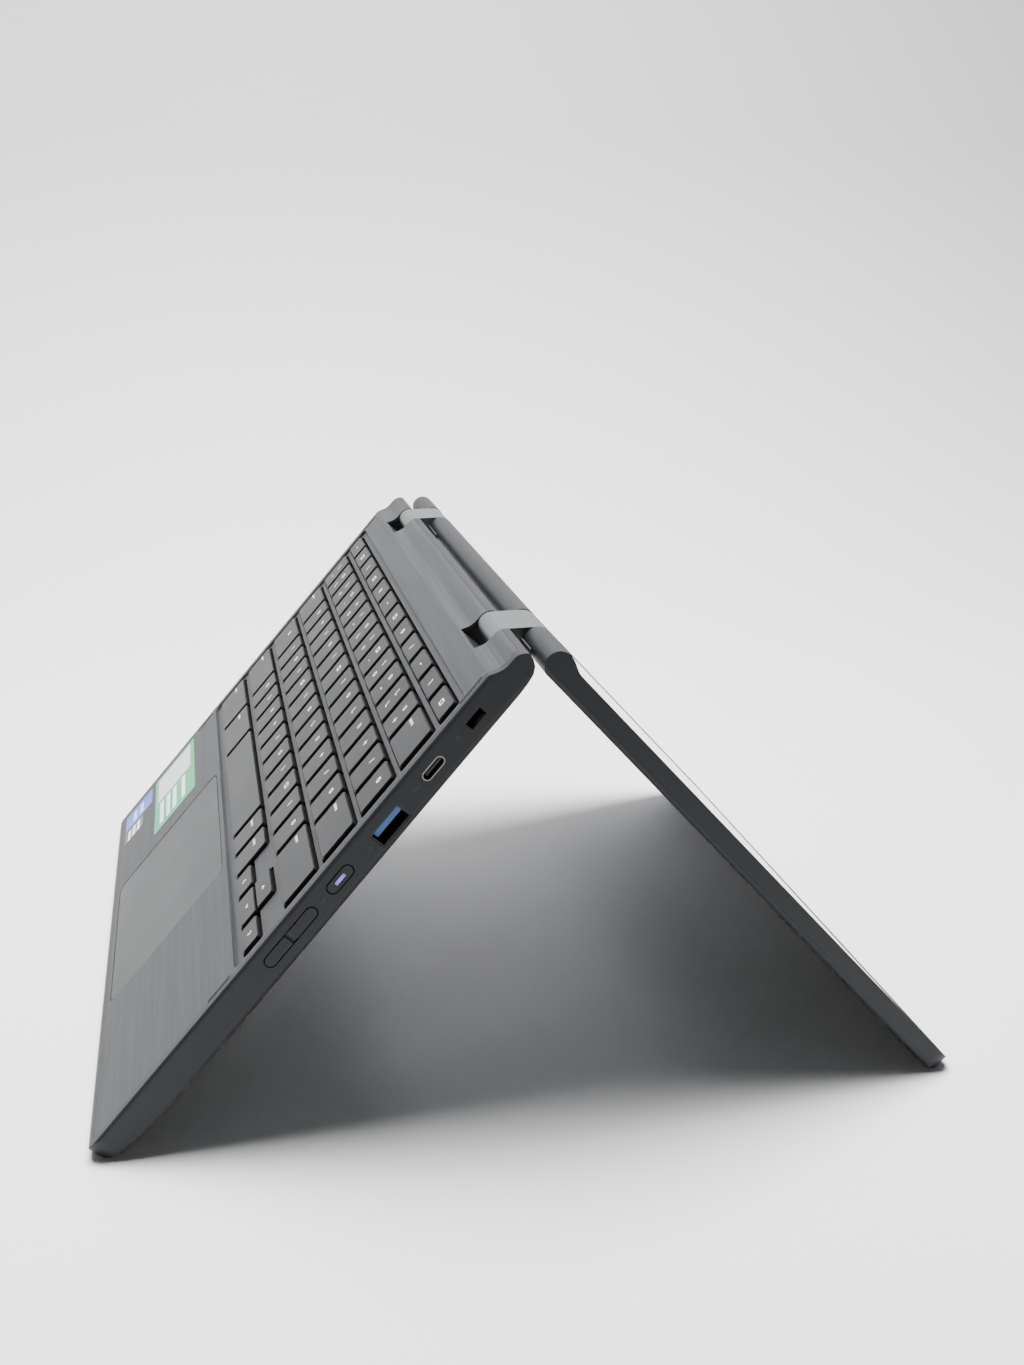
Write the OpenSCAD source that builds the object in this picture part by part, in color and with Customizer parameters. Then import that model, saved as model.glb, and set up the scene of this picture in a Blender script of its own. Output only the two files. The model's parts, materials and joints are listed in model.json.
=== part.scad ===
// Convertible two-in-one notebook computer standing in tent pose.
// Frame: millimetres, +Z up, floor at z = 0, the fold line runs along Y.
// The keyboard base leans to -X, the display lid leans to +X, the right-hand ports face -Y.

/* [Overall] */
// Width of both panels along the fold line
panel_width = 286; // [270:1:345]
// Distance from the base hinge axis to the front edge of the base
base_reach = 203.7; // [175:0.1:240]
// Distance from the lid hinge axis to the free edge of the lid
lid_reach = 204.9; // [186:0.1:231]
// Thickness of the base at the keyboard
base_thick = 12; // [11.4:0.1:15]
// Thickness of the lid
lid_thick = 7.4; // [6.8:0.1:9]
// Lean of the base panel above the floor, in degrees
base_tilt = 49; // [35:0.5:60]
// Corner radius of the free panel corners seen from above
corner_r = 8; // [4:0.5:12]

/* [Hinge] */
// Free gap between the keyboard deck and the lid when the machine is closed
close_gap = 0.6; // [0.5:0.1:1.2]
// Radius of the hinge barrels
barrel_r = 4.7; // [4.4:0.1:5]
// Radius of the link covers around each axis
link_r = 4.5; // [4.2:0.1:4.7]
// Distance from each side of the machine to the middle of the link
link_inset = 43.3; // [40:0.1:60]
// Length of each link cover along the fold line
link_length = 23.6; // [18:0.1:28]
// Free space on each side of a link
link_gap = 0.5; // [0.3:0.1:1]
// Radius of the hinge shafts
shaft_r = 1.9; // [1.6:0.1:2.1]
// Running clearance of the shafts, on the radius
shaft_fit = 0.06; // [0.03:0.01:0.1]

/* [Keyboard] */
// Margin between each side of the machine and the outermost key cell
key_margin = 7.28; // [6.6:0.01:12]
// Free gap between neighbouring key tops
key_gap = 3.3; // [2.8:0.1:4]
// Length of a full key top from front to rear
key_len = 15.2; // [14:0.1:16]
// Distance from the hinge axis to the front of the lowest key row
key_start = 124.6; // [122:0.1:126]
// Depth of the keyboard tray below the deck
tray_depth = 1; // [0.6:0.1:1.2]
// Height of the key tops above the deck
key_proud = 0.2; // [0:0.1:0.3]
// Key travel
key_travel = 1.4; // [1:0.1:1.4]

/* [Touchpad] */
// Touchpad width across the machine
pad_width = 105; // [95:1:115]
// Distance between the touchpad and the keyboard tray
pad_gap = 2.6; // [1.5:0.1:6]
// Distance from the front edge to the touchpad
pad_start = 7.4; // [6:0.1:9]

/* [Ports] */
// USB-A opening width
usba_w = 13.1; // [12.8:0.1:13.6]
// USB-A opening height
usba_h = 5.8; // [5.4:0.1:6]
// USB-C opening width
usbc_w = 9.3; // [9:0.1:9.8]
// USB-C opening height
usbc_h = 3.5; // [3.2:0.1:3.9]
// Security slot width
lock_w = 6.6; // [6:0.1:7.2]
// Security slot height
lock_h = 2.8; // [2.4:0.1:3.2]
// Depth of the finger notch in the front edge
notch_depth = 1.8; // [0.8:0.1:2.4]

/* [Feet] */
// Height of the rubber feet under the base
foot_h = 0.9; // [0.5:0.1:1]

/* [Hidden] */
$fn = 64;
half = panel_width / 2;
wall = 2.4;
barrel_rise = 0.02;
skin = 1.2;
deck_t = 1.7;
deck_top = base_thick - barrel_r;
function from_front(distance) = distance - base_reach;
function from_near(distance) = distance - half;
deck_low = deck_top - deck_t;
base_low = -barrel_r;
lid_front = lid_thick - barrel_r;
axis_gap = deck_top + lid_front + close_gap;
lid_low = -barrel_r;
nose_r = 3.4;
nose_x = from_front(nose_r);
nose_z = deck_top - nose_r;
tip_r = 2.2;
tip_x = lid_reach - tip_r;
tip_z = -0.1;
// Both free edges rest on the floor and the link leans half the difference of the two panels
base_z = nose_r - nose_x * sin(base_tilt) - nose_z * cos(base_tilt);
function lid_lean(axis_z, guess) = asin((axis_z - tip_r + tip_z * cos(guess)) / tip_x);
first_lean = lid_lean(base_z, base_tilt);
link_guess = (base_tilt - first_lean) / 2;
lid_tilt = lid_lean(base_z + axis_gap * sin(link_guess), first_lean);
link_tilt = (base_tilt - lid_tilt) / 2;
left_x = nose_x * cos(base_tilt) - nose_z * sin(base_tilt) - nose_r;
right_x = axis_gap * cos(link_tilt) + (lid_reach * cos(lid_tilt)) + (lid_front - 0.8) * sin(lid_tilt);
base_x = -(left_x + right_x) / 2;
lid_x = base_x + axis_gap * cos(link_tilt);
lid_z = base_z + axis_gap * sin(link_tilt);
link_offset = half - link_inset;
pocket_half = link_length / 2 + link_gap;
pocket_reach = link_r + 0.8;
pocket_front = link_r + 3.2;
part_line = base_low + 1.4;
cavity_rear = -9.4;
cavity_low = base_low + skin;
plate_front = from_front(4.5);
skin_rear = 2.6;
skin_t = 0.8;
seam = 0.1;
plate_half = half - 3.4;
tray_front = -key_start - 4.7;
palm_len = base_reach + tray_front;
tray_rear = tray_front + 111.1;
tray_half = half - 5;
tray_floor = deck_top - tray_depth;
pad_x0 = from_front(pad_start);
pad_x1 = tray_front - pad_gap;
pad_low = deck_top - 1.4;
pad_rib_x = pad_x1 - 2;
pad_rib_r = 0.55;
bumper_x = [tray_front - 12.7, tray_rear - 2.9];
bumper_len = 10.4;
bumper_half = 0.6;
bumper_depth = 0.8;
bumper_proud = 0.15;
key_top = deck_top + key_proud;
key_low = key_top - 2.6;
key_row_step = 18.73;
key_rows_half = half - key_margin;
row_units = 14.5;
key_pitch = 2 * key_rows_half / row_units;
slot_margin = 0.85;
room_x = 10.4;
boss_r = 3.2;
boss_h = 4.2;
screw_bore = 0.95;
bracket_r = shaft_r + 0.6;
bracket_fit = 0.2;
bezel_line = lid_low + 2;
glass_t = 0.9;
glass_drop = 0.3;
glass_low = lid_front - glass_drop - glass_t;
glass_half = half - 1.5;
screw_y = half - 6;
port_z = deck_top - 5.6;
usba_z = deck_top - 6.95;
usbc_room = 7.6;
audio_z = port_z - 0.6;
audio_r = 1.8;
power_x = -85.3;
volume_x = power_x - 23.6;
rocker_y = from_near(2.2);
rocker_rib_r = 0.8;
usba_x = power_x + 22.5;
usbc_x = usba_x + 21.9;
lock_x = usbc_x + 19.9;
screw_x = [-12.8, -75.5, from_front(77.7)];
grille_count = 8;
grille_x = from_front(38);
grille_len = 9;
grille_step = 3.4;
grille_slot = 1.4;
col_case = [0.22, 0.23, 0.25];
col_deck = [0.45, 0.46, 0.47];
col_key = [0.38, 0.39, 0.4];
col_link = [0.62, 0.63, 0.64];
col_black = [0.06, 0.06, 0.07];
col_steel = [0.7, 0.71, 0.73];
col_board = [0.1, 0.3, 0.2];

module at_base() translate([base_x, 0, base_z]) rotate([0, -base_tilt, 0]) children();
module at_link() translate([base_x, 0, base_z]) rotate([0, -link_tilt, 0]) children();
module at_lid() translate([lid_x, 0, lid_z]) rotate([0, lid_tilt, 0]) children();
module along_y(w) rotate([90, 0, 0]) linear_extrude(w, center = true) children();
module both_sides() for (s = [-1, 1]) translate([0, s * link_offset, 0]) children();
module box(x0, x1, y0, y1, z0, z1) translate([x0, y0, z0]) cube([x1 - x0, y1 - y0, z1 - z0]);
module round_rect(x0, x1, y0, y1, r) {
  translate([x0 + r, y0]) square([x1 - x0 - 2 * r, y1 - y0]);
  translate([x0, y0 + r]) square([x1 - x0, y1 - y0 - 2 * r]);
  for (x = [x0 + r, x1 - r]) for (y = [y0 + r, y1 - r]) translate([x, y]) circle(r);
}
module round_box(x0, x1, y0, y1, z0, z1, r) translate([0, 0, z0]) linear_extrude(z1 - z0)
  round_rect(x0, x1, y0, y1, r);
module y_cyl(x, z, r, y0, y1) translate([x, y0, z]) rotate([-90, 0, 0]) cylinder(r = r, h = y1 - y0);
module stadium_y(x, z, w, h, y0, y1) {
  for (s = [-1, 1]) y_cyl(x + s * (w - h) / 2, z, h / 2, y0, y1);
  box(x - (w - h) / 2, x + (w - h) / 2, y0, y1, z - h / 2, z + h / 2);
}

// ---- base body ----
function arc(x, z, r, a0, a1, step) = [for (a = [a0:step:a1]) [x + r * cos(a), z + r * sin(a)]];
module base_outline() {
  rear = [[-9.6, deck_top], [-8.4, deck_top - 0.15], [-7.2, deck_top - 0.7], [-5.6, barrel_r + 0.95],
    [-4.2, barrel_r + 0.35], [-2.5, barrel_r + 0.05], [0, barrel_r], [0, base_low]];
  under = [[from_front(78.7), base_low], [from_front(45), base_low + 0.5],
    [from_front(20.7), base_low + 1.9], [from_front(7.7), base_low + 3.7]];
  polygon(concat(rear, under, arc(nose_x, nose_z, nose_r, 240, 90, -7.5)));
}
module base_plan() {
  x0 = -base_reach;
  translate([x0 + corner_r, -half]) square([base_reach - corner_r + barrel_r + 1, 2 * half]);
  translate([x0, -half + corner_r]) square([base_reach, 2 * half - 2 * corner_r]);
  for (s = [-1, 1]) translate([x0 + corner_r, s * (half - corner_r)]) circle(corner_r);
}
module end_view(z0, z1, rt, rb) {
  translate([-half + rt, z1 - rt]) square([2 * half - 2 * rt, rt]);
  translate([-half + rb, z0]) square([2 * half - 2 * rb, rb]);
  translate([-half, z0 + rb]) square([2 * half, z1 - z0 - rt - rb]);
  for (s = [-1, 1]) translate([s * (half - rt), z1 - rt]) circle(rt);
  for (s = [-1, 1]) translate([s * (half - rb), z0 + rb]) circle(rb);
}
module barrel() y_cyl(0, 0, barrel_r + barrel_rise, -half, half);
module below_tail() along_y(2 * half + 2) polygon([[-14, base_low - 1], [-14, base_low],
  [-8, base_low + 0.2], [-3, base_low + 0.7], [0.2, base_low + 1.4], [2.4, base_low + 2.7],
  [3.7, base_low + 4.5], [4.3, base_low + 6.7], [barrel_r + 1, base_low + 8], [barrel_r + 1, base_low - 1]]);
module base_solid() intersection() {
  difference() {
    union() {
      along_y(2 * half) base_outline();
      barrel();
    }
    below_tail();
  }
  translate([0, 0, base_low - 1]) linear_extrude(base_thick + 2) base_plan();
  translate([-base_reach - 1, 0, 0]) rotate([90, 0, 90]) linear_extrude(base_reach + barrel_r + 2)
    end_view(base_low, deck_top, 1.1, 2.4);
}
module cavity_outline() polygon([[plate_front + 1.5, deck_low], [cavity_rear, deck_low],
  [cavity_rear, cavity_low], [from_front(78.7), cavity_low], [from_front(45), cavity_low + 0.5],
  [from_front(20.7), cavity_low + 1.9], [plate_front + 1.5, cavity_low + 3.2]]);
module base_cavity() along_y(2 * (half - wall)) cavity_outline();
module below_part_line() along_y(2 * half + 2) polygon([[-base_reach - 1, nose_z - 1.3],
  [from_front(2.7), nose_z - 2], [from_front(7.7), part_line + 3.9],
  [from_front(20.7), part_line + 1.9], [from_front(45), part_line + 0.5],
  [from_front(78.7), part_line], [-6, part_line], [-6, base_low - 1], [-base_reach - 1, base_low - 1]]);
module front_notch() translate([0, 0, base_low - 1]) linear_extrude(base_thick + 2)
  polygon([[-base_reach - 1, -62], [-base_reach, -62], [-base_reach + notch_depth, -57],
    [-base_reach + notch_depth, 57], [-base_reach, 62], [-base_reach - 1, 62]]);
module link_pockets() both_sides()
  box(-pocket_front, barrel_r + 1, -pocket_half, pocket_half, base_low - 1, deck_top + 1);
module port_cuts(s) {
  y0 = s > 0 ? half - wall - 1 : -half - 1;
  y1 = s > 0 ? half + 1 : -half + wall + 1;
  box(usba_x - usba_w / 2, usba_x + usba_w / 2, y0, y1, usba_z - usba_h / 2, usba_z + usba_h / 2);
  stadium_y(usbc_x, port_z, usbc_w, usbc_h, y0, y1);
}
module side_cuts() {
  port_cuts(-1);
  port_cuts(1);
  y0 = -half - 1;
  y1 = -half + wall + 1;
  box(lock_x - lock_w / 2, lock_x + lock_w / 2, y0, y1, port_z - lock_h / 2, port_z + lock_h / 2);
  stadium_y(power_x, port_z, 11.2, 4.4, y0, y1);
  stadium_y(volume_x, port_z + 0.1, 24, 4.4, y0, y1);
  y_cyl(power_x + 0.4, audio_z, audio_r + 1.3, half - wall - 1, half + 1);
}
module bracket_room() both_sides_outer() {
  y_cyl(0, 0, bracket_r + bracket_fit, 0, 24.6);
  box(cavity_rear - 1, 0, 0, 19.6, -bracket_r - bracket_fit, bracket_r);
}
module both_sides_outer() for (m = [0, 1]) mirror([0, m, 0])
  translate([0, link_offset + pocket_half + 1.2, 0]) children();
module both_ends() for (m = [0, 1]) mirror([0, m, 0]) translate([0, link_offset, 0]) children();
module shaft_bores() both_ends() y_cyl(0, 0, shaft_r, -pocket_half - 8, pocket_half + 3);
module deck_zone_2d(gap) difference() {
  polygon([[plate_front - gap, deck_top + 1], [skin_rear + gap, deck_top + 1], [skin_rear + gap, 0],
    [-1, 0], [-3, barrel_r - 1.1], [-5, barrel_r - 0.4], [-7, deck_low - 0.5], [-9.2, deck_low],
    [plate_front - gap, deck_low]]);
  circle(barrel_r - skin_t + seam - gap);
}
module deck_zone(gap) intersection() {
  along_y(2 * (plate_half + gap)) deck_zone_2d(gap);
  round_box(plate_front - gap, skin_rear + gap, -plate_half - gap, plate_half + gap,
    0, deck_top + 1, 4 + gap);
}
module boss(x, y) translate([x, y, part_line]) cylinder(r = boss_r, h = boss_h);
module bosses() {
  for (x = screw_x) for (m = [0, 1]) mirror([0, m, 0]) {
    boss(x, screw_y);
    box(x - 2, x + 2, screw_y, half - wall + 0.3, part_line, part_line + boss_h);
  }
  boss(screw_x[0], 0);
  box(screw_x[0], cavity_rear + 0.3, -2, 2, part_line, part_line + boss_h);
}
module side_frame() color(col_case) at_base() difference() {
  union() {
    difference() {
      base_solid();
      base_cavity();
      below_part_line();
      deck_zone(seam);
    }
    bosses();
  }
  screw_places() translate([0, 0, part_line - 1]) cylinder(r = screw_bore, h = boss_h + 2);
  front_notch();
  link_pockets();
  side_cuts();
  bracket_room();
  shaft_bores();
}
module screw_places() {
  for (x = screw_x) for (s = [-1, 1]) translate([x, s * screw_y, 0]) children();
  translate([screw_x[0], 0, 0]) children();
}
module bottom_cover() color(col_case) at_base() difference() {
  intersection() {
    base_solid();
    below_part_line();
  }
  difference() {
    base_cavity();
    screw_places() translate([0, 0, base_low - 1]) cylinder(r = boss_r, h = part_line - base_low + 1);
  }
  front_notch();
  link_pockets();
  screw_places() {
    translate([0, 0, base_low - 1]) cylinder(r = screw_bore, h = 4);
    translate([0, 0, base_low - 1]) cylinder(r = 2.6, h = 1.7);
  }
  for (m = [0, 1]) mirror([0, m, 0]) for (i = [0:grille_count - 1])
    round_box(grille_x, grille_x + grille_len, half - 33 + i * grille_step,
      half - 33 + i * grille_step + grille_slot, base_low - 1, base_low + 4, grille_slot / 2 - 0.01);
}
module bottom_screws() color(col_steel) at_base() screw_places() {
  translate([0, 0, base_low + 0.1]) cylinder(r = 2.4, h = 0.6);
  translate([0, 0, base_low + 0.7]) cylinder(r = 0.85, h = 4);
}
module rubber_feet() color(col_black) at_base() {
  for (s = [-1, 1]) round_box(from_front(79.7), from_front(87.7), s * foot_y - 22, s * foot_y + 22,
    base_low - foot_h, base_low, 3.5);
  round_box(-30, -22, -foot_y + 5, foot_y - 5, base_low - foot_h, base_low, 3.5);
}

// ---- deck ----
module key_slots() translate([0, 0, deck_low - 1]) linear_extrude(deck_t + 2) {
  y0 = -key_rows_half + key_gap / 2 - slot_margin;
  y1 = -y0;
  for (i = [1:4]) slot_2d(row_front(i), key_len, y0, y1);
  slot_2d(row_front(5), 7.7, y0, y1);
  slot_2d(row_front(0), 16.1, unit_y(11.25) + key_gap / 2 - slot_margin, y1);
  slot_2d(row_front(0), 7.6, y0, unit_y(11.25) + key_gap);
  slot_2d(row_front(0) + 8, 8.1, unit_y(13.5) + key_gap / 2 - slot_margin,
    unit_y(12.27) - key_gap / 2 + slot_margin);
}
module slot_2d(x, len, y0, y1) round_rect(x - slot_margin, x + len + slot_margin, y0, y1, 1);
function row_front(i) = -key_start + (i == 0 ? 0 : 20 + (i - 1) * key_row_step);
function unit_y(u) = key_rows_half - u * key_pitch;
module deck_plate() color(col_deck) at_base() difference() {
  intersection() {
    base_solid();
    deck_zone(0);
  }
  link_pockets();
  round_box(tray_front, tray_rear, -tray_half, tray_half, tray_floor, deck_top + 1, 3);
  key_slots();
  round_box(pad_x0 - 0.45, pad_x1 + 0.45, -pad_width / 2 - 0.45, pad_width / 2 + 0.45,
    deck_low - 1, deck_top + 1, 4.4);
  bumper_places() box(-0.1, bumper_len + 0.1, -bumper_half - 0.1, bumper_half + 0.1, -bumper_depth, 2);
}
module bumper_places() for (m = [0, 1]) mirror([0, m, 0]) for (x = bumper_x)
  translate([x, plate_half - 1.4, deck_top]) children();
module deck_bumpers() color(col_black) at_base() bumper_places()
  box(0, bumper_len, -bumper_half, bumper_half, -bumper_depth, bumper_proud);
module label(u0, u1, w0, w1) color([0.3, 0.7, 0.55]) at_base()
  round_box(from_front(u0), from_front(u1), half - w1, half - w0, deck_top, deck_top + 0.12, 1.2);
module label_large() label(0.4 * palm_len, 0.78 * palm_len, 7.5, 75.5);
module label_square() label(0.1 * palm_len, 0.363 * palm_len, 8, 27);
module label_small() label(0.1 * palm_len, 0.276 * palm_len, 29, 43);
module touchpad() color([0.5, 0.51, 0.52]) at_base() {
  round_box(pad_x0, pad_x1, -pad_width / 2, pad_width / 2, pad_low, deck_top - 0.1, 4);
  y_cyl(pad_rib_x, pad_low, pad_rib_r, -pad_width / 2 + 8, pad_width / 2 - 8);
}
module touchpad_bracket() color(col_steel) at_base() difference() {
  round_box(pad_x0 - 1, pad_x1 + 2, -pad_width / 2 - 4, pad_width / 2 + 4, deck_low - 0.9, deck_low - 0.3, 2);
  for (y = [-32, 0, 32]) translate([(pad_x0 + pad_x1) / 2, y, 0]) cylinder(r = 11, h = 30, center = true);
}

// ---- keys ----
module cap(x, len, u0, u1, r = 0.9) {
  y0 = unit_y(u1) + key_gap / 2;
  y1 = unit_y(u0) - key_gap / 2;
  round_box(x, x + len, y0, y1, key_low, key_top - 0.3, r);
  round_box(x + 0.25, x + len - 0.25, y0 + 0.25, y1 - 0.25, key_top - 0.3, key_top, r);
}
module key_row(i, len, first, count, step = 1) color(col_key) at_base()
  for (k = [0:count - 1]) cap(row_front(i), len, first + k * step, first + (k + 1) * step);
module wide_key(i, len, u0, u1) color(col_key) at_base() cap(row_front(i), len, u0, u1);
function_step = row_units / 12;
module keys_function() key_row(5, 7.7, 0, 11, function_step);
module key_lock() wide_key(5, 7.7, 11 * function_step, row_units);
module keys_number() key_row(4, key_len, 0, 13);
module key_backspace() wide_key(4, key_len, 13, row_units);
module key_tab() wide_key(3, key_len, 0, 1.5);
module keys_upper() key_row(3, key_len, 1.5, 13);
module key_search() wide_key(2, key_len, 0, 1.8);
module keys_home() key_row(2, key_len, 1.8, 11);
module key_enter() wide_key(2, key_len, 12.8, row_units);
module key_shift_left() wide_key(1, key_len, 0, 2.25);
module keys_lower() key_row(1, key_len, 2.25, 10);
module key_shift_right() wide_key(1, key_len, 12.25, row_units);
module keys_modifier() color(col_key) at_base() {
  cap(row_front(0), 16.1, 0, 2.25);
  cap(row_front(0), 16.1, 2.25, 4.25);
  cap(row_front(0), 16.1, 9.25, 10.25);
  cap(row_front(0), 16.1, 10.25, 11.25);
}
module key_space() wide_key(0, 16.1, 4.25, 9.25);
module key_arrow_left() wide_key(0, 7.6, 11.25, 12.27);
module key_arrow_down() wide_key(0, 7.6, 12.27, 13.5);
module key_arrow_right() wide_key(0, 7.6, 13.5, row_units);
module key_arrow_up() color(col_key) at_base() cap(row_front(0) + 8.5, 7.6, 12.27, 13.5);
backplate_top = key_low - key_travel - 0.9;
plate_end = tray_half - 4.5;
module keyboard_backplate() color(col_steel) at_base() difference() {
  box(tray_front + 2, tray_rear - 2, -plate_end, plate_end, backplate_top - 0.5, backplate_top);
  jack_sides() box(power_x - 5, usba_x + usba_w / 2 + 1.5, -plate_end - 1, -half + 16.5,
    backplate_top - 1, backplate_top + 1);
}
module key_domes() color(col_black) at_base() for (i = [1:4]) for (k = [0:12])
  translate([row_front(i) + key_len / 2, unit_y(0.9 + k * 1.02 + i * 0.1), backplate_top])
    cylinder(r = 2.4, h = 0.6, $fn = 24);

// ---- inside the base ----
board_z = cavity_low + 1.4;
module main_board() color(col_board) at_base() difference() {
  box(-112, -20, from_near(17), -22, board_z, board_z + 1);
  for (x = [-106, -26]) for (y = [from_near(23), -28])
    translate([x, y, board_z - 1]) cylinder(r = 1.6, h = 3);
}
module board_chips() color(col_black) at_base() {
  box(-78, -54, -86, -60, board_z + 1, board_z + 1.9);
  for (y = [-52, -38]) box(-74, -62, y, y + 10, board_z + 1, board_z + 1.8);
  box(-100, -89, -84, -70, board_z + 1, board_z + 1.8);
}
module heat_spreader() color(col_steel) at_base()
  box(-96, -30, -112, -34, board_z + 1.9, board_z + 2.5);
module wifi_card() color(col_board) at_base() box(-60, -30, -18, 4, board_z, board_z + 1.6);
cells_half = half - 35;
cells_rear = tray_front - 4.7;
cell_gap = 1.5;
cell_step = (2 * cells_half + cell_gap) / 3;
speaker_y = half - 18;
foot_y = half - 48;
module battery_pack() color(col_black) at_base() for (i = [0:2])
  round_box(from_front(22.7), cells_rear, i * cell_step - cells_half,
    (i + 1) * cell_step - cells_half - cell_gap, cavity_low + 2.3, deck_low - 1.2, 1.5);
module speakers() color(col_black) at_base() for (s = [-1, 1])
  round_box(from_front(25.7), cells_rear - 6, s * speaker_y - 12, s * speaker_y + 12,
    cavity_low + 2.3, deck_low - 0.6, 2);
module left_io_board() color(col_board) at_base() box(-100, -30, half - 45, half - 17, board_z, board_z + 1);
module jack_sides() for (m = [0, 1]) mirror([0, m, 0]) children();
module usb_a_shells() color(col_steel) at_base() jack_sides() difference() {
  y0 = -half + 0.4;
  box(usba_x - usba_w / 2 + 0.1, usba_x + usba_w / 2 - 0.1, y0, y0 + 15,
    usba_z - usba_h / 2 + 0.1, usba_z + usba_h / 2 - 0.1);
  box(usba_x - usba_w / 2 + 0.45, usba_x + usba_w / 2 - 0.45, y0 - 1, y0 + 13.6,
    usba_z - usba_h / 2 + 0.45, usba_z + usba_h / 2 - 0.45);
}
module usb_a_tongues() color([0.1, 0.3, 0.8]) at_base() jack_sides()
  box(usba_x - 5.6, usba_x + 5.6, -half + 2, -half + 14, usba_z + 0.2, usba_z + 2.1);
module usb_c_shells() color(col_steel) at_base() jack_sides() difference() {
  stadium_y(usbc_x, port_z, usbc_w - 0.1, usbc_h - 0.1, -half + 0.15, -half + 9);
  stadium_y(usbc_x, port_z, usbc_w - 0.9, usbc_h - 0.9, -half - 1, -half + usbc_room);
}
module usb_c_tongues() color(col_black) at_base() jack_sides()
  box(usbc_x - 3.3, usbc_x + 3.3, -half + 1.6, -half + usbc_room, port_z - 0.35, port_z + 0.35);
module audio_jack() color(col_black) at_base() difference() {
  union() {
    y_cyl(power_x + 0.4, audio_z, audio_r + 1.2, half - 4, half - 0.1);
    box(power_x - 3, power_x + 3.8, half - 15, half - 4, audio_z - 2.4, audio_z + audio_r + 0.4);
  }
  y_cyl(power_x + 0.4, audio_z, audio_r, half - 14, half + 1);
}
module lock_slot_plate() color(col_steel) at_base() difference() {
  box(lock_x - 4.8, lock_x + 4.8, -half + wall, -half + wall + 0.8, port_z - 3.4, port_z + 3.4);
  box(lock_x - lock_w / 2, lock_x + lock_w / 2, -half, -half + 5, port_z - lock_h / 2, port_z + lock_h / 2);
}
module power_button() color(col_case) at_base() difference() {
  union() {
    stadium_y(power_x, port_z, 10.4, 3.6, -half - 0.05, -half + 2);
    box(power_x - 2, power_x + 2, -half + 2, -half + 2.9, port_z - 1.2, port_z + 1.2);
  }
  box(power_x - 2.2, power_x + 2.2, -half - 1, -half + 0.5, port_z - 0.6, port_z + 0.6);
}
module power_light() color([0.5, 0.45, 1]) at_base()
  box(power_x - 2.15, power_x + 2.15, -half - 0.03, -half + 0.5, port_z - 0.55, port_z + 0.55);
module volume_rocker() color(col_case) at_base() {
  difference() {
    stadium_y(volume_x, port_z + 0.1, 23.2, 3.6, -half - 0.05, rocker_y);
    translate([volume_x, -half - 1.3, 0]) cylinder(r = 1.7, h = 30, center = true);
  }
  translate([volume_x, rocker_y, port_z - 1.3]) cylinder(r = rocker_rib_r, h = 2.8);
}
module button_switches() color(col_board) at_base() {
  z0 = part_line + boss_h + 0.2;
  box(power_x - 7, power_x + 7, -half + 3.5, -half + 4.5, z0, port_z + 2);
  box(volume_x - 12, volume_x + 12, -half + 3.5, -half + 4.5, z0, port_z + 2);
}

// ---- hinge ----
module link_2d() {
  circle(link_r);
  translate([axis_gap, 0]) circle(link_r);
  translate([0, -link_r]) square([axis_gap, 2 * link_r]);
}
module hinge_covers() color(col_link) at_link() both_ends() difference() {
  along_y(link_length) link_2d();
  y_cyl(0, 0, shaft_r + shaft_fit, -20, 20);
  y_cyl(axis_gap, 0, shaft_r + shaft_fit, -20, 20);
}
sleeve_x0 = barrel_r + 0.35;
sleeve_x1 = axis_gap - barrel_r - 0.35;
module cable_sleeves() color(col_black) at_link() {
  y0 = link_offset + link_length / 2;
  y1 = link_offset - link_length / 2;
  box(sleeve_x0, sleeve_x1, -y0 - 14, -y0, -1.3, 1.3);
  box(sleeve_x0, sleeve_x1, y1 - 22, y1, -1.3, 1.3);
}
module shafts() both_ends() y_cyl(0, 0, shaft_r, -pocket_half - 7, pocket_half + 16);
module brackets(arm_from, arm_to) both_ends() difference() {
  union() {
    y_cyl(0, 0, bracket_r, pocket_half + 2, pocket_half + 14);
    box(arm_from, arm_to, pocket_half + 2, pocket_half + 14, -bracket_r, -bracket_r + 0.8);
  }
  y_cyl(0, 0, shaft_r, pocket_half, pocket_half + 20);
}
module base_shafts() color(col_steel) at_base() shafts();
module base_brackets() color(col_steel) at_base() brackets(-16, 0);
module lid_shafts() color(col_steel) at_lid() shafts();
module lid_brackets() color(col_steel) at_lid() brackets(0, 48);

// ---- lid ----
module lid_outline() {
  free_edge = concat([[lid_reach - 0.8, lid_front], [lid_reach, lid_front - 0.8]],
    arc(tip_x, tip_z, tip_r, 0, -60, -7.5), [[lid_reach - 4.6, lid_low + 0.7], [lid_reach - 8.4, lid_low]]);
  shoulder = [[0, lid_low], [0, barrel_r], [1.5, barrel_r - 0.15], [3, barrel_r - 0.6],
    [4.4, lid_front + 0.75], [5.8, lid_front + 0.25], [7, lid_front + 0.05], [8, lid_front]];
  polygon(concat(free_edge, shoulder));
}
module lid_plan() {
  translate([-barrel_r - 1, -half]) square([lid_reach - corner_r + barrel_r + 1, 2 * half]);
  translate([-barrel_r - 1, -half + corner_r]) square([lid_reach + barrel_r + 1, 2 * half - 2 * corner_r]);
  for (s = [-1, 1]) translate([lid_reach - corner_r, s * (half - corner_r)]) circle(corner_r);
}
module lid_solid() intersection() {
  union() {
    along_y(2 * half) lid_outline();
    barrel();
  }
  translate([0, 0, lid_low - 1]) linear_extrude(2 * barrel_r + 2) lid_plan();
  translate([-barrel_r - 1, 0, 0]) rotate([90, 0, 90]) linear_extrude(lid_reach + barrel_r + 2)
    end_view(lid_low, barrel_r + 0.4, 1, 1.6);
}
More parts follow.
